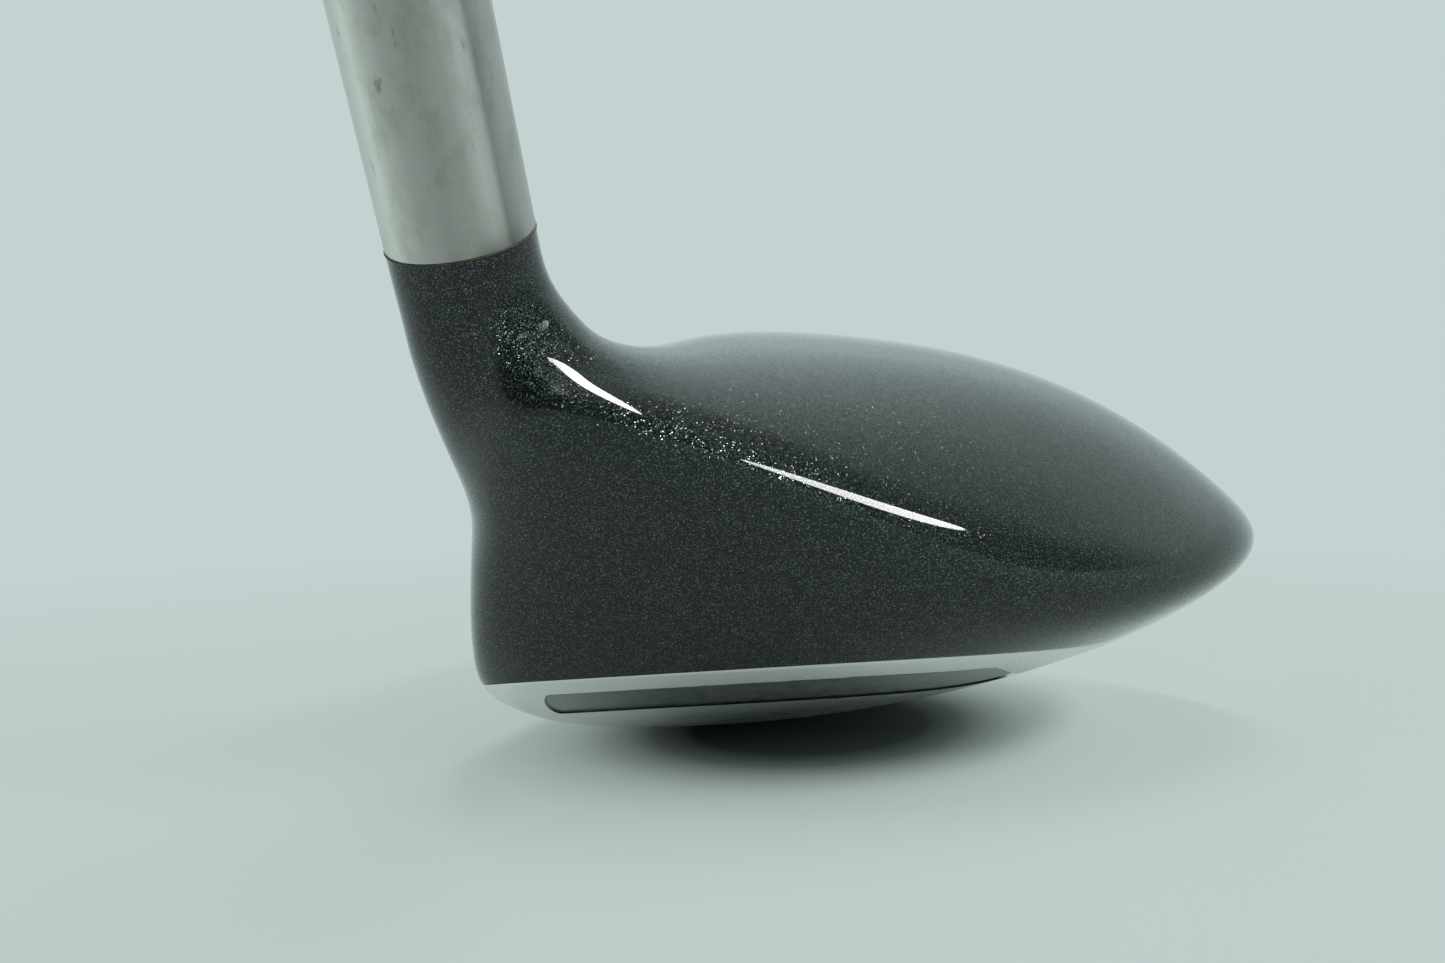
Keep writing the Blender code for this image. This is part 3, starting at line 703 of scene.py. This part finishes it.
class Nodes(Graph):
    """Node material built around one Principled shader."""

    def __init__(self, name):
        self.material = bpy.data.materials.new(name)
        self.material.use_nodes = True
        super().__init__(self.material.node_tree)
        self.shader = self.tree.nodes["Principled BSDF"]

    def set(self, **values):
        for key, value in values.items():
            self.shader.inputs[key.replace("_", " ")].default_value = value

    def place(self, scale=(1.0, 1.0, 1.0)):
        """Position on the piece, in metres, stretched by a scale."""
        coords = self.add("ShaderNodeTexCoord")
        mapping = self.add("ShaderNodeMapping")
        mapping.inputs["Scale"].default_value = scale
        self.link(coords.outputs["Object"], mapping.inputs["Vector"])
        return mapping.outputs["Vector"]

    def distance(self, place, scale=(1.0, 1.0, 1.0)):
        """Distance from a place on the piece, in metres, with the space around it stretched by a scale."""
        node = self.add("ShaderNodeVectorMath", operation="DISTANCE")
        self.link(self.place(scale), node.inputs[0])
        node.inputs[1].default_value = [part * factor for part, factor in zip(place, scale)]
        return node.outputs["Value"]

    def noise(self, scale, detail=4.0, roughness=0.5, stretch=(1.0, 1.0, 1.0)):
        node = self.add("ShaderNodeTexNoise")
        node.inputs["Scale"].default_value = scale
        node.inputs["Detail"].default_value = detail
        node.inputs["Roughness"].default_value = roughness
        self.link(self.place(stretch), node.inputs["Vector"])
        return node.outputs["Fac"]

    def colour(self, value, *stops):
        """Base colour from a ramp."""
        self.link(self.ramp(value, *stops), self.shader.inputs["Base Color"])

    def roughness(self, value, change, least):
        """Roughness that grows with a value."""
        rough = self.math("ADD", self.math("MULTIPLY", value, change), least)
        self.link(rough, self.shader.inputs["Roughness"])

    def bump(self, height, strength, distance):
        node = self.add("ShaderNodeBump")
        node.inputs["Strength"].default_value = strength
        node.inputs["Distance"].default_value = distance
        self.link(height, node.inputs["Height"])
        self.link(node.outputs["Normal"], self.shader.inputs["Normal"])


def flake_paint():
    """Charcoal metallic paint: tilted mirror flakes under a smooth clear coat."""
    n = Nodes("charcoal_flake_paint")
    coat_ior = 1.41
    n.set(Metallic=0.85, Coat_Weight=1.0, Coat_Roughness=0.035, Coat_IOR=coat_ior)
    n.set(Specular_Tint=(0.18, 0.36, 0.345, 1.0))

    flakes_per_metre = 16500.0
    cells = n.add("ShaderNodeTexVoronoi", feature="F1")
    cells.inputs["Scale"].default_value = flakes_per_metre
    n.link(n.place(), cells.inputs["Vector"])
    flake = n.add("ShaderNodeSeparateColor")
    n.link(cells.outputs["Color"], flake.inputs["Color"])

    # Every flake leans its own way
    lean = n.add("ShaderNodeVectorMath", operation="SUBTRACT")
    n.link(cells.outputs["Color"], lean.inputs[0])
    lean.inputs[1].default_value = (0.5, 0.5, 0.5)
    scaled = n.add("ShaderNodeVectorMath", operation="SCALE")
    n.link(lean.outputs[0], scaled.inputs[0])
    scaled.inputs["Scale"].default_value = 0.8
    geometry = n.add("ShaderNodeNewGeometry")
    total = n.add("ShaderNodeVectorMath", operation="ADD")
    n.link(geometry.outputs["Normal"], total.inputs[0])
    n.link(scaled.outputs[0], total.inputs[1])
    unit = n.add("ShaderNodeVectorMath", operation="NORMALIZE")
    n.link(total.outputs[0], unit.inputs[0])
    n.link(unit.outputs[0], n.shader.inputs["Normal"])

    # Few flakes are bright; a share of them is pinkish, the rest cool grey
    brightness = n.ramp(flake.outputs[0], (0.0, (0.0013, 0.0035, 0.0032)), (0.45, (0.0020, 0.0050, 0.0046)),
                        (0.75, (0.006, 0.0115, 0.0105)), (0.88, (0.032, 0.042, 0.040)),
                        (1.0, (0.27, 0.29, 0.28)))
    tint = n.ramp(flake.outputs[1], (0.0, (1.0, 0.72, 0.78)), (0.25, (1.0, 0.88, 0.86)),
                  (0.4, (0.90, 1.0, 0.99)), (1.0, (0.70, 1.0, 0.96)))
    colour = n.mix(1.0, brightness, tint, "MULTIPLY")
    n.link(colour, n.shader.inputs["Base Color"])

    # In the crease between neck and body the paint is rougher and the coat reflects nothing
    near, far = CREASE_EDGE
    matt = n.math("MAXIMUM", *[n.ramp(n.distance(place), (near, 1.0), (far, 0.0)) for place in CREASE])
    n.link(n.ramp(matt, (0.0, 0.17), (1.0, 0.55)), n.shader.inputs["Roughness"])
    n.link(n.math("ADD", n.math("MULTIPLY", matt, 1.0 - coat_ior), coat_ior), n.shader.inputs["Coat IOR"])

    # Faint handling marks dull the clear coat here and there
    smudge = n.noise(85.0, 5.0, 0.62)
    n.link(n.ramp(smudge, (0.0, 0.03), (0.60, 0.035), (0.78, 0.12)), n.shader.inputs["Coat Roughness"])
    return n.material


def brushed_steel():
    """Bare hosel: fine lines along the tube, dull patches, small marks, and painted reflection bands around
    it.
    """
    n = Nodes("brushed_steel")
    n.set(Metallic=1.0)
    fine = n.noise(900.0, 3.0, 0.6, (1.0, 1.0, 0.02))
    patch = n.noise(130.0, 4.0, 0.6, (1.0, 1.0, 0.35))
    split = n.add("ShaderNodeSeparateXYZ")
    n.link(n.place(), split.inputs[0])
    angle = n.math("ARCTAN2", split.outputs["Y"], split.outputs["X"])
    round_share = n.math("ADD", n.math("MULTIPLY", angle, 0.5 / math.pi), 0.5)
    # Painted reflection: light and dark bands along the tube, set by the angle around it, multiply the base
    # colour.
    bands = n.ramp(round_share, (0.0, 0.50), (0.08, 0.58), (0.13, 0.66), (0.175, 0.84), (0.215, 0.60),
                   (0.25, 0.45), (0.31, 0.37), (0.36, 0.43), (0.398, 0.60), (0.418, 0.54), (0.434, 0.31),
                   (0.452, 0.37), (0.48, 0.44), (1.0, 0.50))
    mottle = n.noise(330.0, 6.0, 0.68, (1.0, 1.0, 0.6))
    tone = n.ramp(mottle, (0.30, (0.76, 0.79, 0.72)), (0.50, (0.96, 0.98, 0.90)), (0.70, (1.0, 1.0, 0.96)))
    colour = n.mix(1.0, bands, tone, "MULTIPLY")
    marks = n.noise(640.0, 4.0, 0.62, (1.0, 1.0, 0.4))
    colour = n.mix(n.ramp(marks, (0.64, 0.0), (0.72, 0.60)), colour, (0.16, 0.17, 0.155))
    n.link(colour, n.shader.inputs["Base Color"])
    rough = n.math("ADD", n.math("MULTIPLY", fine, 0.12), n.math("MULTIPLY", patch, 0.22))
    n.link(n.math("ADD", rough, 0.10), n.shader.inputs["Roughness"])
    n.bump(fine, 0.12, 0.00004)
    return n.material


def satin_steel():
    """Polished sole plate with fine scratches from the turf."""
    n = Nodes("satin_sole_steel")
    n.set(Metallic=1.0)
    brushed = n.noise(700.0, 3.0, 0.6, (0.03, 1.0, 1.0))
    patch = n.noise(60.0, 4.0, 0.6)
    n.colour(patch, (0.3, (0.80, 0.81, 0.80)), (0.7, (0.90, 0.91, 0.89)))
    n.roughness(brushed, 0.18, 0.20)
    n.bump(brushed, 0.03, 0.00004)
    return n.material


def blasted_steel():
    """Bead-blasted face steel, slightly polished where balls strike."""
    n = Nodes("blasted_face_steel")
    n.set(Metallic=1.0)
    grain = n.noise(5200.0, 2.0, 0.5)
    patch = n.noise(70.0, 4.0, 0.6)
    n.colour(patch, (0.3, (0.34, 0.35, 0.35)), (0.7, (0.46, 0.47, 0.46)))
    n.roughness(patch, 0.2, 0.34)
    n.bump(grain, 0.35, 0.00005)
    return n.material


def dark_fill():
    n = Nodes("dark_band_enamel")
    n.set(Metallic=0.8)
    grain = n.noise(900.0, 3.0, 0.5)
    dark = n.ramp(grain, (0.3, (0.10, 0.115, 0.11)), (0.7, (0.16, 0.175, 0.17)))
    split = n.add("ShaderNodeSeparateXYZ")
    n.link(n.place(), split.inputs[0])
    # The band's colour is paler towards both of its ends along X, turning to light grey (0.42, 0.45, 0.44)
    # there.
    paler_to_ends = n.ramp(split.outputs["X"], (0.005, 0.8), (0.014, 0.0), (0.030, 0.0), (0.043, 0.8))
    n.link(n.mix(paler_to_ends, dark, (0.42, 0.45, 0.44)), n.shader.inputs["Base Color"])
    n.roughness(grain, 0.3, 0.30)
    return n.material


def lip_paint():
    n = Nodes("paint_edge")
    patch = n.noise(700.0, 3.0, 0.6)
    n.colour(patch, (0.35, (0.012, 0.012, 0.011)), (0.62, (0.060, 0.036, 0.020)))
    n.roughness(patch, 0.3, 0.35)
    return n.material


def gloss_plastic():
    n = Nodes("ferrule_gloss_plastic")
    scuff = n.noise(160.0, 5.0, 0.6)
    n.colour(scuff, (0.3, (0.008, 0.008, 0.009)), (0.7, (0.018, 0.018, 0.019)))
    n.link(n.ramp(scuff, (0.4, 0.14), (0.75, 0.34)), n.shader.inputs["Roughness"])
    return n.material


def shaft_finish():
    """Dark lacquered composite with the faint pitch of its wrapping tape."""
    n = Nodes("shaft_lacquered_composite")
    n.set(Coat_Weight=0.8, Coat_Roughness=0.06)
    wave = n.add("ShaderNodeTexWave", wave_type="BANDS", bands_direction="Z")
    wave.inputs["Scale"].default_value = 190.0
    wave.inputs["Distortion"].default_value = 0.6
    n.link(n.place(), wave.inputs["Vector"])
    patch = n.noise(500.0, 3.0, 0.55, (1.0, 1.0, 0.08))
    n.colour(patch, (0.3, (0.014, 0.015, 0.017)), (0.7, (0.034, 0.036, 0.040)))
    n.roughness(patch, 0.2, 0.28)
    n.bump(wave.outputs["Fac"], 0.25, 0.00003)
    return n.material


def grip_rubber(name, low, high):
    n = Nodes(name)
    grain = n.noise(2600.0, 3.0, 0.6)
    patch = n.noise(40.0, 4.0, 0.6)
    n.colour(patch, (0.3, low), (0.7, high))
    n.roughness(grain, 0.25, 0.58)
    n.bump(grain, 0.5, 0.00008)
    return n.material


def hidden_part(name, low, high, metallic, roughness, scale):
    """Procedural finish for a part that sits inside the club."""
    n = Nodes(name)
    n.set(Metallic=metallic)
    grain = n.noise(scale, 4.0, 0.55)
    n.colour(grain, (0.3, low), (0.7, high))
    n.roughness(grain, 0.2, roughness)
    n.bump(grain, 0.2, 0.00005)
    return n.material


def dress_hidden_nodes():
    """Gives each hidden node its finish, in the order of what hidden_part takes."""
    finishes = {
        "rear_weight": ("cast_weight", (0.22, 0.22, 0.23), (0.34, 0.34, 0.34), 1.0, 0.42, 900.0),
        "rattle_glue": ("hot_melt_glue", (0.62, 0.48, 0.20), (0.76, 0.63, 0.32), 0.0, 0.40, 300.0),
        "bore_plug": ("plug_plastic", (0.72, 0.72, 0.68), (0.82, 0.82, 0.78), 0.0, 0.50, 700.0),
        "shaft_epoxy": ("epoxy", (0.58, 0.54, 0.34), (0.72, 0.68, 0.46), 0.0, 0.30, 500.0),
        "tip_weight": ("brass", (0.62, 0.46, 0.18), (0.76, 0.58, 0.27), 1.0, 0.25, 900.0),
        "grip_tape": ("grip_tape", (0.66, 0.63, 0.54), (0.78, 0.76, 0.68), 0.0, 0.70, 1200.0),
    }
    for name, finish in finishes.items():
        item = frame["nodes"][name]
        material = hidden_part(*finish)
        if not item.material_slots:
            item.data.materials.append(material)
        for slot in item.material_slots:
            slot.material = material


# ---------------------------------------------------------------- studio

BACKDROP = (0.552, 0.644, 0.640)
# CLOTH_GLOW: painted light, the colour the cloth glows with near the head.
CLOTH_GLOW = (0.530, 0.620, 0.604)
OVERHEAD = 0.24                                 # brightness overhead, as a share of the backdrop's
SWEEP_TURN = 0.32                               # the sweep's edge runs along y + 0.32 x
SWEEP_EDGE = (0.60, 0.82)
SWEEP_LIFT = 0.28                               # how much brighter the sweep gets higher up
LIFT_EDGE = (0.26, 0.46)
WALL_EDGE = (0.44, 0.30)                        # the walls are pale below this height
LIGHT_DISTANCE = 2.0
LIGHT_AIM = (0.02, -0.03, 0.02)
SHADOW_MIDDLE = (0.021, -0.008, 0.0)
SHADOW_STRETCH = (1.0, 0.667, 1.0)              # the shadow is longer from heel to toe
CAMERA_PLACE = (0.060975, -0.172474, 0.029190)
CAMERA_TILT = math.radians(88.8)                # from straight down
CAMERA_TURN = math.radians(16.812)
LENS = 39.86
SENSOR_WIDTH = 36.0


def pale_cloth():
    """Finely woven cloth with a painted shadow under the head, where its colour turns dark and its painted
    glow fades out; further out it glows with painted light like the backdrop.
    """
    n = Nodes("pale_cloth")
    n.set(Roughness=0.9, Specular_IOR_Level=0.1)
    weave = []
    for direction in ("X", "Y"):
        wave = n.add("ShaderNodeTexWave", wave_type="BANDS", bands_direction=direction)
        wave.inputs["Scale"].default_value = 520.0
        wave.inputs["Distortion"].default_value = 1.5
        wave.inputs["Detail"].default_value = 2.0
        n.link(n.place(), wave.inputs["Vector"])
        weave.append(wave.outputs["Fac"])
    n.bump(n.math("MAXIMUM", *weave), 0.12, 0.0001)
    distance = n.distance(SHADOW_MIDDLE, SHADOW_STRETCH)
    patch = n.noise(9.0, 4.0, 0.6)
    cloth = n.ramp(patch, (0.3, (0.40, 0.47, 0.455)), (0.7, (0.43, 0.50, 0.485)))
    # Painted shadow: within about 13 to 22 mm of SHADOW_MIDDLE, in the stretched space, the cloth's colour
    # turns dark (0.11, 0.135, 0.13) under the head.
    outside = n.ramp(distance, (0.013, 0.0), (0.022, 1.0))
    n.link(n.mix(outside, (0.11, 0.135, 0.13), cloth), n.shader.inputs["Base Color"])

    # Painted light: the cloth glows, from CLOTH_GLOW near the head to the backdrop's colour further out.
    glow = n.add("ShaderNodeEmission")
    n.link(n.ramp(distance, (0.10, CLOTH_GLOW), (0.24, BACKDROP)), glow.inputs["Color"])
    blend = n.add("ShaderNodeMixShader")
    # Painted shadow in the glow: its share is nil within 14.5 mm of SHADOW_MIDDLE and grows outwards to
    # full glow at 0.2 m.
    fade = n.ramp(distance, (0.0145, 0.0), (0.0205, 0.22), (0.025, 0.44), (0.031, 0.62),
                  (0.045, 0.74), (0.20, 1.0))
    n.link(fade, blend.inputs[0])
    n.link(n.shader.outputs[0], blend.inputs[1])
    n.link(glow.outputs[0], blend.inputs[2])
    output = n.tree.nodes["Material Output"]
    n.link(blend.outputs[0], output.inputs["Surface"])
    return n.material


def table():
    """Round level table, finely divided near the head and wide enough to end out of sight."""
    steps = 96
    rings = (0.12, 0.4, 1.2, 3.5, 12.0)
    angles = [2 * math.pi * step / steps for step in range(steps)]
    verts = [(0.0, 0.0, 0.0)]
    verts += [(ring * math.cos(angle), ring * math.sin(angle), 0.0) for ring in rings for angle in angles]
    faces = [(0, 1 + step, 1 + (step + 1) % steps) for step in range(steps)]
    for ring in range(len(rings) - 1):
        base = 1 + ring * steps
        for step in range(steps):
            near = base + step
            far = base + (step + 1) % steps
            faces.append((near, near + steps, far + steps, far))
    mesh = bpy.data.meshes.new("table")
    mesh.from_pydata(verts, [], faces)
    mesh.materials.append(pale_cloth())
    item = new_object("table", mesh)


def world():
    """Pale sweep behind and low all round, dim overhead, so the ridge of the head reflects dark."""
    sky = bpy.data.worlds.new("studio")
    bpy.context.scene.world = sky
    sky.use_nodes = True
    graph = Graph(sky.node_tree)
    coords = graph.add("ShaderNodeTexCoord")
    split = graph.add("ShaderNodeSeparateXYZ")
    graph.link(coords.outputs["Generated"], split.inputs["Vector"])

    def share(source, dark, bright):
        node = graph.add("ShaderNodeMapRange", interpolation_type="SMOOTHERSTEP")
        node.inputs["From Min"].default_value = dark
        node.inputs["From Max"].default_value = bright
        graph.link(source, node.inputs["Value"])
        return node.outputs["Result"]

    behind = graph.math("MULTIPLY_ADD", split.outputs["X"], SWEEP_TURN, split.outputs["Y"])
    pale = graph.math("MAXIMUM", share(behind, *SWEEP_EDGE), share(split.outputs["Z"], *WALL_EDGE))
    lift = graph.math("MULTIPLY_ADD", share(split.outputs["Z"], *LIFT_EDGE), SWEEP_LIFT, 1.0)
    dim = tuple(OVERHEAD * part for part in BACKDROP)
    background = graph.tree.nodes["Background"]
    graph.link(graph.ramp(pale, (0.0, dim), (1.0, BACKDROP)), background.inputs["Color"])
    graph.link(lift, background.inputs["Strength"])


def strip_light(name, direction, turn, length, width, radiance):
    """Long softbox facing the head, turned from level; its sizes are shares of its distance."""
    away = Vector(direction).normalized()
    level = Vector((0, 0, 1)).cross(away).normalized()
    rise = away.cross(level)
    turn = math.radians(turn)
    along = level * math.cos(turn) + rise * math.sin(turn)
    across = rise * math.cos(turn) - level * math.sin(turn)
    data = bpy.data.lights.new(name, "AREA")
    data.shape = "ELLIPSE"
    data.size = length * LIGHT_DISTANCE
    data.size_y = width * LIGHT_DISTANCE
    data.energy = radiance * math.pi * data.size * data.size_y
    item = bpy.data.objects.new(name, data)
    bpy.context.scene.collection.objects.link(item)
    item.matrix_world = Matrix((along, across, away)).transposed().to_4x4()
    item.location = Vector(LIGHT_AIM) + away * LIGHT_DISTANCE


def camera():
    data = bpy.data.cameras.new("camera")
    data.sensor_width = SENSOR_WIDTH
    data.lens = LENS
    data.clip_start = 0.005
    data.clip_end = 50.0
    item = bpy.data.objects.new("camera", data)
    bpy.context.scene.collection.objects.link(item)
    item.location = CAMERA_PLACE
    item.rotation_euler = (CAMERA_TILT, 0.0, CAMERA_TURN)
    bpy.context.scene.camera = item


def studio():
    table()
    world()
    strip_light("top_strip", (-0.065, 0.377, 0.924), turn=116.3, length=1.02, width=0.090, radiance=19.0)
    strip_light("side_strip", (0.733, -0.129, 0.668), turn=7.9, length=0.98, width=0.140, radiance=18.0)
    camera()
    bpy.context.scene.view_settings.view_transform = "Standard"


def main():
    painted, plate, sole_piece, fill = build_head()
    finish_piece(painted, flake_paint(), "charcoal_paint", "head_body", "crown_plate")
    finish_piece(plate, blasted_steel(), "blasted_steel", "face_plate")
    finish_piece(sole_piece, satin_steel(), "satin_steel", "sole_plate")
    finish_piece(fill, dark_fill(), "dark_fill", "sole_inlay")
    finish_piece(build_hosel(), brushed_steel(), "brushed_hosel_steel", "hosel_tube")
    finish_piece(build_paint_lip(), lip_paint(), "charcoal_paint")
    finish_piece(build_ferrule(), gloss_plastic(), "ferrule_plastic", "ferrule")
    finish_piece(build_shaft(), shaft_finish(), "shaft_composite", "shaft")
    finish_piece(build_grip(), grip_rubber("grip_rubber", (0.012, 0.012, 0.012), (0.022, 0.022, 0.022)),
                 "grip_rubber", "grip_sleeve")
    finish_piece(build_cap(), grip_rubber("cap_rubber", (0.016, 0.016, 0.016), (0.028, 0.028, 0.028)),
                 "cap_rubber", "grip_cap")
    dress_hidden_nodes()
    studio()


main()
